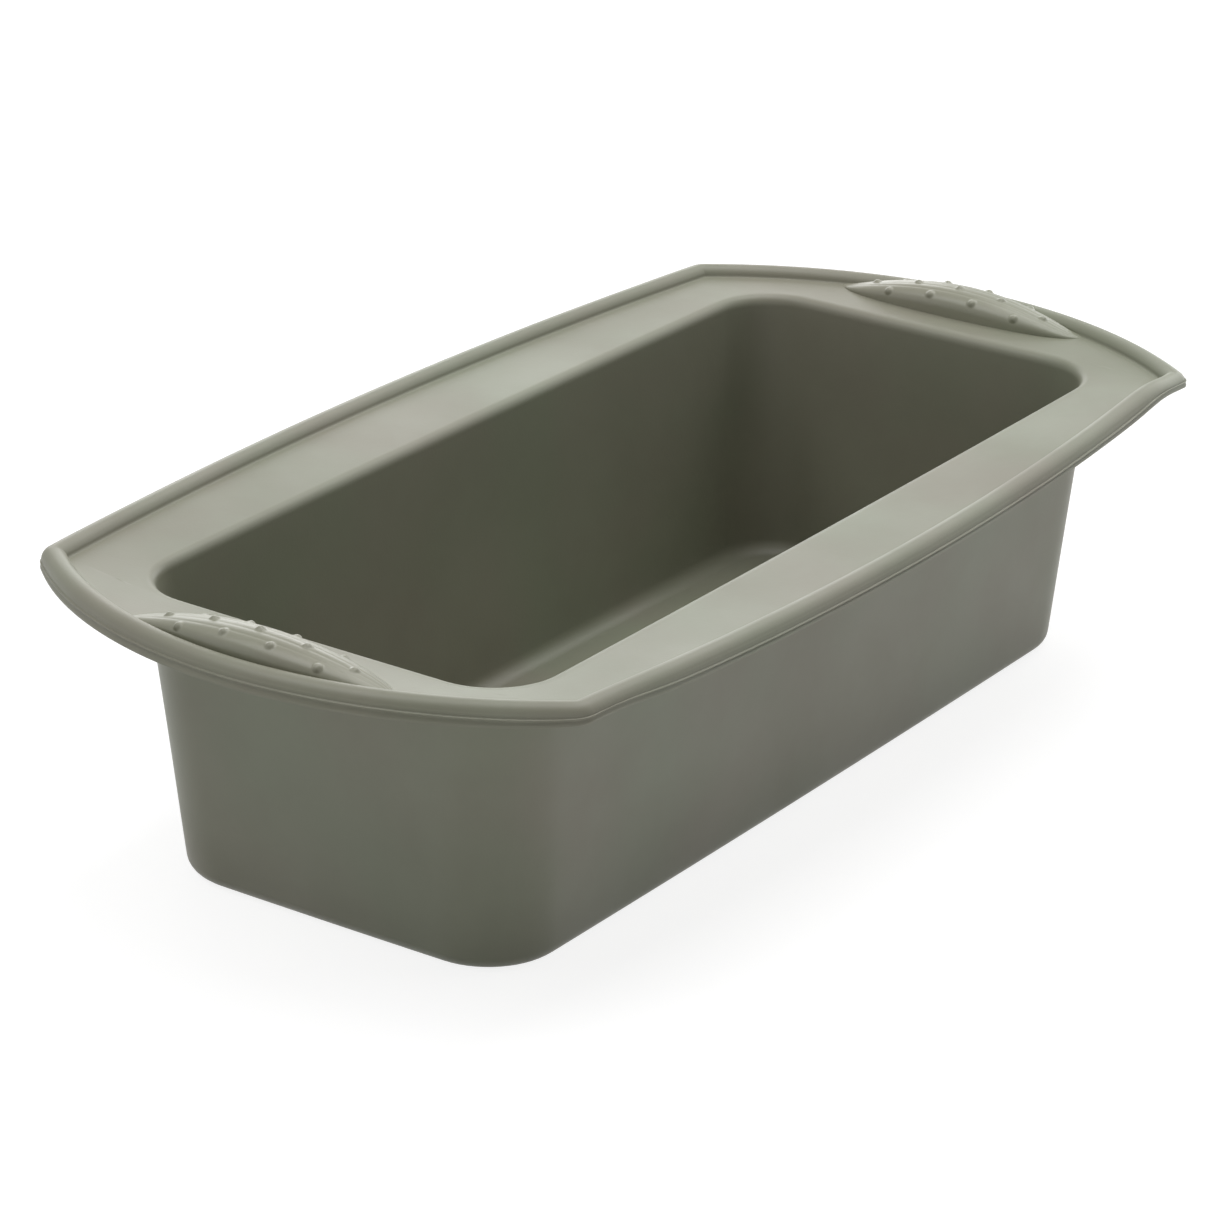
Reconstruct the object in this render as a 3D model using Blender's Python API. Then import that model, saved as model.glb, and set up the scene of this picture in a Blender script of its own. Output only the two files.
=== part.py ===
"""Silicone loaf pan with a wire-stiffened rim and a ribbed grip at each end.

Units are metres and +Z is up. The origin is the centre of the base, on the surface the pan stands on, and X
runs along the pan. Run it with blender --background --python part.py, or from Blender's text editor.
"""

import math

import bmesh
import bpy
from mathutils import Vector

# The cavity, measured on its inner face at the height of the flange
CAVITY_LENGTH = 0.2504
CAVITY_WIDTH = 0.1044
CAVITY_DEPTH = 0.0670
CAVITY_CORNER_RADIUS = 0.0155
CAVITY_END_BOW = 0.0003
CAVITY_SIDE_BOW = 0.0008
END_DRAFT = math.radians(4.7)
SIDE_DRAFT = math.radians(4.4)
WALL_THICKNESS = 0.0024
FLOOR_THICKNESS = 0.0025
FLOOR_RADIUS = 0.0050
BASE_RADIUS = 0.0035
MOUTH_RADIUS = 0.0015

# The flange, from the cavity's inner face to the outermost edge at the middle of an end and of a side
FLANGE_END_WIDTH = 0.0299
FLANGE_SIDE_WIDTH = 0.0285
FLANGE_THICKNESS = 0.0020
FLANGE_RISE = 0.0017
UNDER_FLANGE_RADIUS = 0.0030
RIM_END_BOW = 0.0265
RIM_SIDE_BOW = 0.0071
RIM_CORNER_RADIUS = 0.0060

# The rim's section: a half-round bead over an edge with a parting line and a lower lip
BEAD_WIDTH = 0.0060
BEAD_HEIGHT = 0.0026
RIM_DEPTH = 0.0022
RIM_EDGE_CHAMFER = 0.0003
RIM_LIP_HEIGHT = 0.0006
PARTING_LINE_HEIGHT = 0.0013
PARTING_LINE_WIDTH = 0.0003
EDGE_RELIEF = 0.0003
SHARPEST_CORNER = 0.0005

# The steel wire in the bead, its channel, and the holes left by the pins that hold it in the mould
WIRE_DIAMETER = 0.0022
WIRE_CLEARANCE = 0.0003
WIRE_INSET = 0.0031
WIRE_DROP = 0.0002
WIRE_BEND_RADIUS = 0.0040
PIN_HOLE_DIAMETER = 0.0016
PIN_HOLE_SPACING = 0.0800
PIN_HOLES_PER_SIDE = 3

# The grips: a pillow in the shape of a spindle, ribbed along its length, with three rows of nubs. Each row
# has its distance from the bead in the middle of the end, and its number of nubs
GRIP_LENGTH = 0.0710
GRIP_WIDTH = 0.0128
GRIP_FULLNESS = 0.57
GRIP_HEIGHT = 0.0065
GRIP_CREST = 0.72
GRIP_SHOULDER = 0.3
GRIP_TAPER = 1.05
GRIP_RIBS = 7
GRIP_RIB_DEPTH = 0.0002
NUB_DIAMETER = 0.0026
NUB_HEIGHT = 0.0007
NUB_PITCH = 0.0124
NUB_SINK = 0.0008
NUB_ROWS = ((0.0026, 4), (0.0076, 5), (0.0121, 4))
KEY_LENGTH = 0.0500
KEY_MARGIN = 0.0012
KEY_DEPTH = 0.0008
KEY_ROOT = 0.0012
SEAT_GAP = 0.0003

# How far a cutter runs past the face it opens, and how finely the curves are stepped
CUT_OVERRUN = 0.0010
SLOPE_STEP = 0.0001
HALF_END_STEPS = 8
CORNER_STEPS = 7
HALF_SIDE_STEPS = 5
FILLET_STEPS = 4
BEAD_STEPS = 8
WIRE_SIDES = 8
GRIP_STATIONS = 22
KEY_STATIONS = 12
NUB_SIDES = 8
HOLE_SIDES = 12

FLANGE_HEIGHT = FLOOR_THICKNESS + CAVITY_DEPTH
CREASE_HEIGHT = FLANGE_HEIGHT + FLANGE_RISE
RIM_LENGTH = CAVITY_LENGTH + 2 * FLANGE_END_WIDTH
RIM_WIDTH = CAVITY_WIDTH + 2 * FLANGE_SIDE_WIDTH
MOUTH_EDGE = CAVITY_LENGTH / 2 + MOUTH_RADIUS
WIRE_HEIGHT = CREASE_HEIGHT - WIRE_DROP


def silicone(name, colour, roughness):
    """A satin silicone."""
    material = bpy.data.materials.new(name)
    material.use_nodes = True
    shader = material.node_tree.nodes["Principled BSDF"]
    shader.inputs["Base Color"].default_value = (*colour, 1.0)
    shader.inputs["Roughness"].default_value = roughness
    return material


def steel(name):
    """Drawn steel wire."""
    material = bpy.data.materials.new(name)
    material.use_nodes = True
    shader = material.node_tree.nodes["Principled BSDF"]
    shader.inputs["Base Color"].default_value = (0.56, 0.57, 0.58, 1.0)
    shader.inputs["Metallic"].default_value = 1.0
    shader.inputs["Roughness"].default_value = 0.35
    return material


def arc_points(centre, radius, start, stop, steps):
    """Points along an arc from one angle to another, both ends included."""
    angles = (start + (stop - start) * step / steps for step in range(steps + 1))
    return [(centre[0] + radius * math.cos(a), centre[1] + radius * math.sin(a)) for a in angles]


def bow_radius(half_chord, bow):
    """Radius of the arc that rises by bow over a chord."""
    return (half_chord**2 + bow**2) / (2 * bow)


def bowed_sides(length, width, end_bow, side_bow):
    """Centre and radius of the arcs that bound the +X end and the +Y side of a bowed rectangle."""
    end_radius = bow_radius(width / 2 - side_bow, end_bow)
    side_radius = bow_radius(length / 2 - end_bow, side_bow)
    return (length / 2 - end_radius, end_radius), (width / 2 - side_radius, side_radius)


def bowed_ring(length, width, end_bow, side_bow, corner_radius, inset, height):
    """A rectangle with four bowed sides and round corners, drawn in by inset, as a ring of points."""
    (end_x, end_radius), (side_y, side_radius) = bowed_sides(length, width, end_bow, side_bow)
    corner = max(corner_radius - inset, SHARPEST_CORNER)
    to_end = end_radius - inset - corner
    to_side = side_radius - inset - corner
    span = math.hypot(end_x, side_y)
    along = (to_end**2 - to_side**2 + span**2) / (2 * span)
    across = math.sqrt(to_end**2 - along**2)
    unit = (-end_x / span, side_y / span)
    corner_x = end_x + along * unit[0] - across * unit[1]
    corner_y = along * unit[1] + across * unit[0]
    end_angle = math.atan2(corner_y, corner_x - end_x)
    side_angle = math.atan2(corner_y - side_y, corner_x)

    quarter = arc_points((end_x, 0.0), end_radius - inset, 0.0, end_angle, HALF_END_STEPS)
    quarter += arc_points((corner_x, corner_y), corner, end_angle, side_angle, CORNER_STEPS)[1:]
    quarter += arc_points((0.0, side_y), side_radius - inset, side_angle, math.pi / 2, HALF_SIDE_STEPS)[1:]
    half = quarter + [(-x, y) for x, y in reversed(quarter[:-1])]
    whole = half + [(x, -y) for x, y in reversed(half[1:-1])]
    return [(x, y, height) for x, y in whole]


def wall_ring(outset, height):
    """A ring of the drafted wall, moved out from the cavity's inner face."""
    drop = FLANGE_HEIGHT - height
    length = CAVITY_LENGTH - 2 * drop * math.tan(END_DRAFT)
    width = CAVITY_WIDTH - 2 * drop * math.tan(SIDE_DRAFT)
    bows = (CAVITY_END_BOW, CAVITY_SIDE_BOW)
    return bowed_ring(length, width, *bows, CAVITY_CORNER_RADIUS, -outset, height)


def rim_ring(inset, height, corner_radius=RIM_CORNER_RADIUS):
    """A ring of the flange, drawn in from the rim's outermost edge."""
    return bowed_ring(RIM_LENGTH, RIM_WIDTH, RIM_END_BOW, RIM_SIDE_BOW, corner_radius, inset, height)


def rim_end_x(y, inset):
    """X of the bowed end, drawn in by inset, at a distance y from the middle."""
    (centre, radius), _ = bowed_sides(RIM_LENGTH, RIM_WIDTH, RIM_END_BOW, RIM_SIDE_BOW)
    return centre + math.sqrt((radius - inset) ** 2 - y**2)


def rim_side_y(x, inset):
    """Y of the bowed side, drawn in by inset, at a distance x from the middle."""
    _, (centre, radius) = bowed_sides(RIM_LENGTH, RIM_WIDTH, RIM_END_BOW, RIM_SIDE_BOW)
    return centre + math.sqrt((radius - inset) ** 2 - x**2)


def flange_top(x, y):
    """Height of the flange's top face on the +X end."""
    crease = rim_end_x(y, BEAD_WIDTH)
    return FLANGE_HEIGHT + FLANGE_RISE * (x - MOUTH_EDGE) / (crease - MOUTH_EDGE)


def fillet(radius, start, stop):
    """Offsets across and up of a fillet's points about its centre."""
    return arc_points((0.0, 0.0), radius, start, stop, FILLET_STEPS)


def loft(bm, rings, closed=False):
    """Skins rings of equal length into one closed shell, capped at both ends unless it closes on itself."""
    rows = [[bm.verts.new(point) for point in ring] for ring in rings]
    count = len(rows[0])
    pairs = list(zip(rows, rows[1:]))
    if closed:
        pairs.append((rows[-1], rows[0]))
    else:
        bm.faces.new(rows[0])
        bm.faces.new(rows[-1])
    for low, high in pairs:
        for i in range(count):
            j = (i + 1) % count
            bm.faces.new((low[i], low[j], high[j], high[i]))


def finished_object(name, bm, material=None, sharp=math.radians(35)):
    """Turns a bmesh of closed shells into an object with its faces out."""
    bmesh.ops.recalc_face_normals(bm, faces=bm.faces)
    mesh = bpy.data.meshes.new(name)
    bm.to_mesh(mesh)
    bm.free()
    mesh.shade_smooth()
    mesh.set_sharp_from_angle(angle=sharp)
    if material:
        mesh.materials.append(material)
    piece = bpy.data.objects.new(name, mesh)
    bpy.context.scene.collection.objects.link(piece)
    return piece


def combine(piece, operation, other):
    """Cuts a hidden helper out of a piece, or joins it on."""
    other.hide_render = True
    other.display_type = "WIRE"
    modifier = piece.modifiers.new(other.name, "BOOLEAN")
    modifier.operation = operation
    modifier.solver = "EXACT"
    modifier.object = other


def outer_wall_rings():
    """From the base's round edge up the wall and out under the flange."""
    centre = WALL_THICKNESS - BASE_RADIUS
    rings = [
        wall_ring(centre + across, BASE_RADIUS + up)
        for across, up in fillet(BASE_RADIUS, -math.pi / 2, 0.0)
    ]
    centre = WALL_THICKNESS + UNDER_FLANGE_RADIUS
    level = FLANGE_HEIGHT - FLANGE_THICKNESS - UNDER_FLANGE_RADIUS
    rings += [
        wall_ring(centre + across, level + up)
        for across, up in fillet(UNDER_FLANGE_RADIUS, math.pi, math.pi / 2)
    ]
    return rings


def rim_section():
    """Inset and height of the rim's section, from under the crease round the edge and over the bead."""
    underside = CREASE_HEIGHT - RIM_DEPTH
    lip_top = underside + RIM_LIP_HEIGHT
    parting = underside + PARTING_LINE_HEIGHT
    section = [
        (BEAD_WIDTH, CREASE_HEIGHT - FLANGE_THICKNESS),
        (RIM_EDGE_CHAMFER + RIM_LIP_HEIGHT, underside),
        (RIM_EDGE_CHAMFER, underside),
        (0.0, underside + RIM_EDGE_CHAMFER),
        (0.0, lip_top),
        (EDGE_RELIEF, lip_top + EDGE_RELIEF),
        (EDGE_RELIEF, parting - EDGE_RELIEF),
        (0.0, parting),
        (0.0, parting + PARTING_LINE_WIDTH),
    ]
    bead_half_width = (BEAD_WIDTH - EDGE_RELIEF) / 2
    bead_foot = parting + PARTING_LINE_WIDTH + EDGE_RELIEF
    section.append((EDGE_RELIEF, bead_foot))
    for across, up in arc_points((0.0, 0.0), 1.0, 0.0, math.pi, BEAD_STEPS)[1:]:
        inset = EDGE_RELIEF + bead_half_width * (1 - across)
        section.append((inset, CREASE_HEIGHT + BEAD_HEIGHT * up))
    return section


def inner_wall_rings():
    """From the flange over the round mouth, down the cavity's wall and in to the floor."""
    rings = [
        wall_ring(MOUTH_RADIUS + across, FLANGE_HEIGHT - MOUTH_RADIUS + up)
        for across, up in fillet(MOUTH_RADIUS, math.pi / 2, math.pi)
    ]
    rings += [
        wall_ring(across - FLOOR_RADIUS, FLOOR_THICKNESS + FLOOR_RADIUS + up)
        for across, up in fillet(FLOOR_RADIUS, 0.0, -math.pi / 2)
    ]
    return rings


def wire_rings(radius):
    """The rings of a tube of the given radius round the wire's path."""
    circle = arc_points((0.0, 0.0), radius, 0.0, 2 * math.pi, WIRE_SIDES)[:-1]
    corner = WIRE_BEND_RADIUS + WIRE_INSET
    return [rim_ring(WIRE_INSET - across, WIRE_HEIGHT + up, corner) for across, up in circle]


def rim_wire(material):
    """The hoop of butt-welded wire that stiffens the rim."""
    bm = bmesh.new()
    loft(bm, wire_rings(WIRE_DIAMETER / 2), closed=True)
    return finished_object("rim_wire", bm, material, sharp=math.radians(60))


def wire_channel():
    """Cutter for the space that the wire fills in the bead."""
    bm = bmesh.new()
    loft(bm, wire_rings(WIRE_DIAMETER / 2 + WIRE_CLEARANCE), closed=True)
    return finished_object("wire_channel", bm)


def pin_hole_centres():
    """Where the mould's pins hold the wire: along each side and at the middle of each end."""
    centres = [(end * rim_end_x(0.0, WIRE_INSET), 0.0) for end in (-1, 1)]
    middle = (PIN_HOLES_PER_SIDE - 1) / 2
    for index in range(PIN_HOLES_PER_SIDE):
        x = (index - middle) * PIN_HOLE_SPACING
        y = rim_side_y(x, WIRE_INSET)
        centres += [(x, y), (x, -y)]
    return centres


def pin_holes():
    """Cutter for the holes from the rim's underside up to the wire."""
    bm = bmesh.new()
    bottom = CREASE_HEIGHT - RIM_DEPTH - CUT_OVERRUN
    for centre in pin_hole_centres():
        circle = arc_points(centre, PIN_HOLE_DIAMETER / 2, 0.0, 2 * math.pi, HOLE_SIDES)[:-1]
        loft(bm, [[(x, y, z) for x, y in circle] for z in (bottom, WIRE_HEIGHT)])
    return finished_object("pin_holes", bm)


def grip_share(y):
    """Falls from 1 in the middle of a grip to 0 at its tips."""
    return 1 - (2 * y / GRIP_LENGTH) ** 2


def grip_width(y):
    """Width of a grip's foot at a distance y from its middle."""
    return GRIP_WIDTH * grip_share(y) ** GRIP_FULLNESS


def grip_flanks(y):
    """X of the foot by the bead, and how far the crest lies from it and from the foot by the cavity."""
    width = grip_width(y)
    return rim_end_x(y, BEAD_WIDTH + SEAT_GAP), width * GRIP_CREST, width * (1 - GRIP_CREST)


def grip_rise(y, across):
    """Height over the flange of a grip's section, where across is 0 on the crest and 1 at a foot."""
    crest = GRIP_HEIGHT * grip_share(y) ** GRIP_TAPER
    return crest * (1 - across**2) ** GRIP_SHOULDER


def grip_point(y, angle, depth=0.0):
    """A point on a grip's section: angle 0 is the foot by the bead, 180 degrees the foot by the cavity."""
    foot, outer, inner = grip_flanks(y)
    across = math.cos(angle)
    shrink = 1 - depth / GRIP_HEIGHT
    x = foot - outer + (outer if across > 0 else inner) * across * shrink
    return (x, y, flange_top(x, y) + SEAT_GAP + grip_rise(y, across) * shrink)


def grip_surface(x, y):
    """Height of a grip's surface over a point of the flange."""
    foot, outer, inner = grip_flanks(y)
    across = (x - foot + outer) / (outer if x > foot - outer else inner)
    return flange_top(x, y) + SEAT_GAP + grip_rise(y, across) - GRIP_RIB_DEPTH


def grip_hump(bm, end):
    """The ribbed spindle, lofted from tip to tip."""
    section_steps = 2 * GRIP_RIBS
    tips = []
    rows = []
    for station in range(GRIP_STATIONS + 1):
        y = GRIP_LENGTH / 2 * -math.cos(math.pi * station / GRIP_STATIONS)
        if station in (0, GRIP_STATIONS):
            x, _, z = grip_point(y, 0.0)
            tips.append(bm.verts.new((end * x, y, z)))
            continue
        row = []
        for step in range(section_steps + 1):
            in_groove = step % 2 == 0 and 0 < step < section_steps
            x, _, z = grip_point(y, math.pi * step / section_steps, GRIP_RIB_DEPTH if in_groove else 0.0)
            row.append(bm.verts.new((end * x, y, z)))
        rows.append(row)
    count = section_steps + 1
    for low, high in zip(rows, rows[1:]):
        for i in range(count):
            j = (i + 1) % count
            bm.faces.new((low[i], low[j], high[j], high[i]))
    for tip, row in zip(tips, (rows[0], rows[-1])):
        for i in range(count):
            bm.faces.new((tip, row[i], row[(i + 1) % count]))


def key_bar(bm, end, clearance, top):
    """The curved bar under a grip, or its pocket in the flange when it is grown by a clearance."""
    rings = []
    half_length = KEY_LENGTH / 2 + clearance
    for station in range(KEY_STATIONS + 1):
        y = half_length * (2 * station / KEY_STATIONS - 1)
        outer = rim_end_x(y, BEAD_WIDTH + SEAT_GAP + KEY_MARGIN - clearance)
        inner = outer - grip_width(y) + 2 * (KEY_MARGIN - clearance)
        depth = KEY_DEPTH + clearance
        rings.append(
            [(end * x, y, flange_top(x, y) + up) for x, up in
             ((outer, top), (inner, top), (inner, -depth), (outer, -depth))]
        )
    loft(bm, rings)


def grip_pockets():
    """Cutter for the two pockets in the flange."""
    bm = bmesh.new()
    for end in (-1, 1):
        key_bar(bm, end, SEAT_GAP, CUT_OVERRUN)
    return finished_object("grip_pockets", bm)


def nub(bm, centre, up):
    """A low round nub standing on a grip's surface."""
    centre = Vector(centre)
    up = Vector(up).normalized()
    side = up.orthogonal().normalized()
    front = up.cross(side)
    rings = []
    for spread, rise in ((1.0, -NUB_SINK), (1.0, 0.0), (0.85, 0.6 * NUB_HEIGHT), (0.45, NUB_HEIGHT)):
        circle = arc_points((0.0, 0.0), NUB_DIAMETER / 2 * spread, 0.0, 2 * math.pi, NUB_SIDES)[:-1]
        rings.append([centre + a * side + b * front + rise * up for a, b in circle])
    loft(bm, rings)


def grip_nubs(name, end):
    """The rows of nubs of one grip, each standing square to the surface."""
    bm = bmesh.new()
    for inset, count in NUB_ROWS:
        x = rim_end_x(0.0, BEAD_WIDTH + inset)
        for index in range(count):
            y = (index - (count - 1) / 2) * NUB_PITCH
            step = SLOPE_STEP
            slope_x = (grip_surface(x + step, y) - grip_surface(x - step, y)) / (2 * step)
            slope_y = (grip_surface(x, y + step) - grip_surface(x, y - step)) / (2 * step)
            nub(bm, (end * x, y, grip_surface(x, y)), (-end * slope_x, -slope_y, 1.0))
    return finished_object(name, bm)


def grip(name, end, material):
    """One grip: the ribbed hump, the key that seats in the flange's pocket, and the nubs."""
    bm = bmesh.new()
    grip_hump(bm, end)
    piece = finished_object(name, bm, material)
    bm = bmesh.new()
    key_bar(bm, end, 0.0, KEY_ROOT)
    combine(piece, "UNION", finished_object(name + "_key", bm))
    combine(piece, "UNION", grip_nubs(name + "_nubs", end))
    return piece


def pan_body(material):
    """The moulding: floor, drafted walls, flange and bead in one shell, with the wire's channel in it."""
    bm = bmesh.new()
    rings = outer_wall_rings()
    rings += [rim_ring(inset, height) for inset, height in rim_section()]
    rings += inner_wall_rings()
    loft(bm, rings)
    piece = finished_object("pan_body", bm, material)
    combine(piece, "DIFFERENCE", wire_channel())
    combine(piece, "DIFFERENCE", pin_holes())
    combine(piece, "DIFFERENCE", grip_pockets())
    return piece


def build():
    """Clears the scene and makes the pan."""
    for old in list(bpy.data.objects):
        bpy.data.objects.remove(old, do_unlink=True)
    pan_body(silicone("pan silicone", (0.228, 0.235, 0.176), 0.45))
    rim_wire(steel("rim wire steel"))
    grip_silicone = silicone("grip silicone", (0.242, 0.249, 0.188), 0.32)
    grip("grip_left", -1, grip_silicone)
    grip("grip_right", 1, grip_silicone)


build()
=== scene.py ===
"""Looks of a silicone loaf pan: a satin moulding round a rim wire, with a ribbed, nubbed grip at each end.

Everything is in metres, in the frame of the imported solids: X runs along the pan, Y across it, +Z is up, and
the origin is the centre of the base on the surface the pan stands on.
"""

import logging
import math
from collections.abc import Sequence
from dataclasses import astuple, dataclass, field, replace
from enum import Enum

import bmesh
import bpy
import numpy as np
from mathutils import Matrix, Vector, noise
from mathutils.bvhtree import BVHTree

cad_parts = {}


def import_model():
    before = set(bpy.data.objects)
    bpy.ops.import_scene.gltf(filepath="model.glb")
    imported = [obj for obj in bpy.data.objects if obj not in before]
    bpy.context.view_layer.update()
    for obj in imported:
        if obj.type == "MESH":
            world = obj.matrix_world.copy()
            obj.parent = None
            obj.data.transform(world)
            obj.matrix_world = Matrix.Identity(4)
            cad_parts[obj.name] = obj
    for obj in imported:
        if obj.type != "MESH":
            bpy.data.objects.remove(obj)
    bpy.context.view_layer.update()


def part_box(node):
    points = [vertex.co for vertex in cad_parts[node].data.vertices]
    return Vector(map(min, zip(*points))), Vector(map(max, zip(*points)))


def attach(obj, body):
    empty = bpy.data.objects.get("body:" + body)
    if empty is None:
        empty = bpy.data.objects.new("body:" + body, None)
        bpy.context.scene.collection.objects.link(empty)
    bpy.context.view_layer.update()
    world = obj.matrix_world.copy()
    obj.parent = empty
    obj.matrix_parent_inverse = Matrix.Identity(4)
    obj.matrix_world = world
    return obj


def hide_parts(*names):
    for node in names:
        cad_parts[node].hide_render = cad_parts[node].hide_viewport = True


LOG = logging.getLogger("loaf_pan")
BODY = "root"

Colour = tuple[float, float, float]
Section = list[tuple[float, float]]
# What a node's input can be fed with
Feed = bpy.types.NodeSocket | bpy.types.Node | float | Sequence[float]


class End(Enum):
    """The two ends of the pan, each with the sign of X there."""

    LEFT = -1
    RIGHT = 1


class Slot(Enum):
    """The record's material slots."""

    PAN = "pan_silicone"
    GRIP = "grip_silicone"
    WIRE = "rim_wire_steel"


# Node trees


def feed(tree: bpy.types.NodeTree, socket: bpy.types.NodeSocket, value: Feed) -> None:
    """Feeds an input.

    Args:
        tree: The tree that holds the input.
        socket: The input.
        value: Its value, or what is linked to it: a socket, or a node, which stands for its first output.
    """
    source = value.outputs[0] if isinstance(value, bpy.types.Node) else value
    if isinstance(source, bpy.types.NodeSocket):
        tree.links.new(source, socket)
    else:
        socket.default_value = source


def feed_node(tree: bpy.types.NodeTree, node: bpy.types.Node, **inputs: Feed) -> None:
    """Feeds a node's inputs.

    Args:
        tree: The tree that holds the node.
        node: The node to feed.
        **inputs: What each input gets, by its name in lower case with _ for a space.
    """
    for name, value in inputs.items():
        socket = next(s for s in node.inputs if s.name.lower().replace(" ", "_") == name and s.enabled)
        feed(tree, socket, value)


def add_node(
    tree: bpy.types.NodeTree,
    kind: str,
    settings: dict[str, object] | None = None,
    terms: Sequence[Feed] = (),
    **inputs: Feed,
) -> bpy.types.Node:
    """Adds a node to a tree.

    Args:
        tree: The tree that gets the node.
        kind: The node's type, such as "ShaderNodeBump".
        settings: Its properties, by name.
        terms: What its first inputs get, in order.
        **inputs: What other inputs get, by name.

    Returns:
        The new node.
    """
    node = tree.nodes.new(kind)
    for name, value in (settings or {}).items():
        setattr(node, name, value)
    for socket, term in zip(node.inputs, terms):
        feed(tree, socket, term)
    feed_node(tree, node, **inputs)
    return node


def background_rays(tree: bpy.types.NodeTree) -> bpy.types.Node:
    """Tells the rays that show the background.

    Args:
        tree: The tree that gets the nodes.

    Returns:
        A node that gives 1 for camera, glossy and transmission rays, and 0 for the rest.
    """
    rays = add_node(tree, "ShaderNodeLightPath")
    seen = rays.outputs["Is Camera Ray"]
    for name in ("Is Glossy Ray", "Is Transmission Ray"):
        either = (seen, rays.outputs[name])
        seen = add_node(tree, "ShaderNodeMath", {"operation": "ADD", "use_clamp": True}, either)
    return seen


def new_material(name: str) -> tuple[bpy.types.Material, bpy.types.NodeTree]:
    """Adds a material.

    Args:
        name: Name of the material.

    Returns:
        The material and its node tree, which holds a Principled BSDF.
    """
    material = bpy.data.materials.new(name)
    material.use_nodes = True
    return material, material.node_tree


def tone_ramp(
    tree: bpy.types.NodeTree, share: Feed, span: tuple[float, float], *tones: Colour
) -> bpy.types.Node:
    """Adds a ramp between two colours.

    Args:
        tree: The tree that gets it.
        share: What it reads.
        span: Where the ramp leaves the first colour and reaches the second.
        *tones: The two colours.

    Returns:
        The ramp's node.
    """
    ramp = add_node(tree, "ShaderNodeValToRGB", fac=share)
    for element, position, tone in zip(ramp.color_ramp.elements, span, tones):
        element.position = position
        element.color = (*tone, 1.0)
    return ramp


def bumped(
    tree: bpy.types.NodeTree, place: Feed, size: float, detail: float, depth: float, **under: Feed
) -> bpy.types.Node:
    """Adds a bump that follows a noise.

    Args:
        tree: The tree that gets the nodes.
        place: Where the noise is read.
        size: Size of its waves.
        detail: How many finer waves lie on them.
        depth: Depth of the bump.
        **under: The normal that it goes on, if any.

    Returns:
        The bump's node.
    """
    waves = add_node(tree, "ShaderNodeTexNoise", vector=place, scale=1 / size, detail=detail)
    return add_node(tree, "ShaderNodeBump", height=waves, distance=depth, strength=1.0, **under)


# Finishes


@dataclass(frozen=True)
class SiliconeFinish:
    """A satin platinum silicone with faint clouding, a fine moulded grain and soft, uneven gloss.

    Attributes:
        name: Name of the material.
        tone: Main colour, linear.
        cloud_tone: Colour that the clouding drifts to.
        cloud_size: Size of the clouds.
        cloud_detail: How many finer clouds lie on them.
        cloud_roughness: How strong those are.
        cloud_span: Where the clouds' noise has the cloud tone, and where the main one.
        cool_tint: What the colour is multiplied by where it drifts to green.
        warm_tint: What it is multiplied by where it drifts to brown.
        drift_size: Size of that drift.
        drift_span: Where the drift's noise is cool, and where warm.
        grain_size: Size of the grain left by the mould's blasted steel.
        grain_depth: Depth of the grain.
        wave_size: Size of the soft unevenness of the walls.
        wave_depth: Depth of that unevenness.
        roughness: Lowest and highest roughness.
        gloss_span: Where the clouds' noise has the highest roughness, and where the lowest.
        ior: Index of refraction.
    """

    name: str
    tone: Colour = (0.228, 0.237, 0.178)
    cloud_tone: Colour = (0.210, 0.212, 0.160)
    cloud_size: float = 0.045
    cloud_detail: float = 4.0
    cloud_roughness: float = 0.55
    cloud_span: tuple[float, float] = (0.35, 0.65)
    cool_tint: Colour = (0.98, 1.005, 0.975)
    warm_tint: Colour = (1.04, 0.99, 1.01)
    drift_size: float = 0.055
    drift_span: tuple[float, float] = (0.38, 0.62)
    grain_size: float = 0.0007
    grain_depth: float = 0.00002
    wave_size: float = 0.030
    wave_depth: float = 0.00012
    roughness: tuple[float, float] = (0.40, 0.48)
    gloss_span: tuple[float, float] = (0.3, 0.7)
    ior: float = 1.42

    def material(self) -> bpy.types.Material:
        """Builds the material.

        Returns:
            The material, whose patterns lie on the object's own coordinates.
        """
        material, tree = new_material(self.name)
        place = add_node(tree, "ShaderNodeTexCoord").outputs["Object"]
        clouds = add_node(tree, "ShaderNodeTexNoise", vector=place, scale=1 / self.cloud_size)
        feed_node(tree, clouds, detail=self.cloud_detail, roughness=self.cloud_roughness)
        colour = tone_ramp(tree, clouds, self.cloud_span, self.cloud_tone, self.tone)
        apart = (self.drift_size, 0.0, 0.0)
        shifted = add_node(tree, "ShaderNodeVectorMath", {"operation": "ADD"}, (place, apart))
        drift = add_node(tree, "ShaderNodeTexNoise", vector=shifted, scale=1 / self.drift_size, detail=2.0)
        tint = tone_ramp(tree, drift, self.drift_span, self.cool_tint, self.warm_tint)
        tinted = add_node(tree, "ShaderNodeVectorMath", {"operation": "MULTIPLY"}, (colour, tint))
        low, high = self.roughness
        gloss = add_node(tree, "ShaderNodeMapRange", terms=(clouds, *self.gloss_span, high, low))
        wave = bumped(tree, place, self.wave_size, 1.0, self.wave_depth)
        grain = bumped(tree, place, self.grain_size, 2.0, self.grain_depth, normal=wave)
        shader = tree.nodes["Principled BSDF"]
        feed_node(tree, shader, base_color=tinted, roughness=gloss, normal=grain, ior=self.ior)
        return material


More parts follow.
